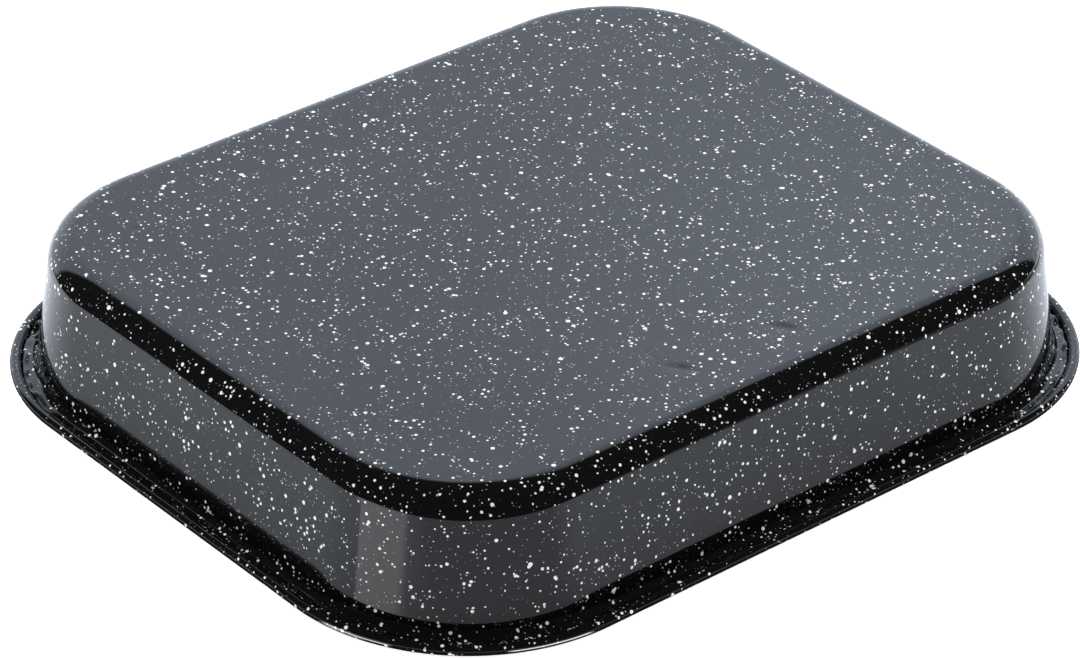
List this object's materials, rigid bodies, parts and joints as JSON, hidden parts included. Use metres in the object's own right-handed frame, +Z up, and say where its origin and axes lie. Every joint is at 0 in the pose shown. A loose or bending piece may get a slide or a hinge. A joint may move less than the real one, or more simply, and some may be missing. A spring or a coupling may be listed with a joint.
{
  "type": "granite roasting pan",
  "caption": "Low rectangular roasting pan of black speckled enamelled steel, with round corners, leaning walls and a flanged rim rolled to a hollow bead. It lies upside down on its rim.",
  "frame": {"origin": "centre of the plane that the rim rests on, with the pan upside down, as in the picture", "axes": "+X along the long side, +Y along the short side, +Z up through the base. Turn it 180 degrees about X to set it upright on its base for use."},
  "size_m": [0.36, 0.31, 0.0563],
  "materials": {
    "speckled_enamel": "gloss"
  },
  "bodies": {
    "root": {"roasting_pan": "speckled_enamel"}
  },
  "joints": []
}
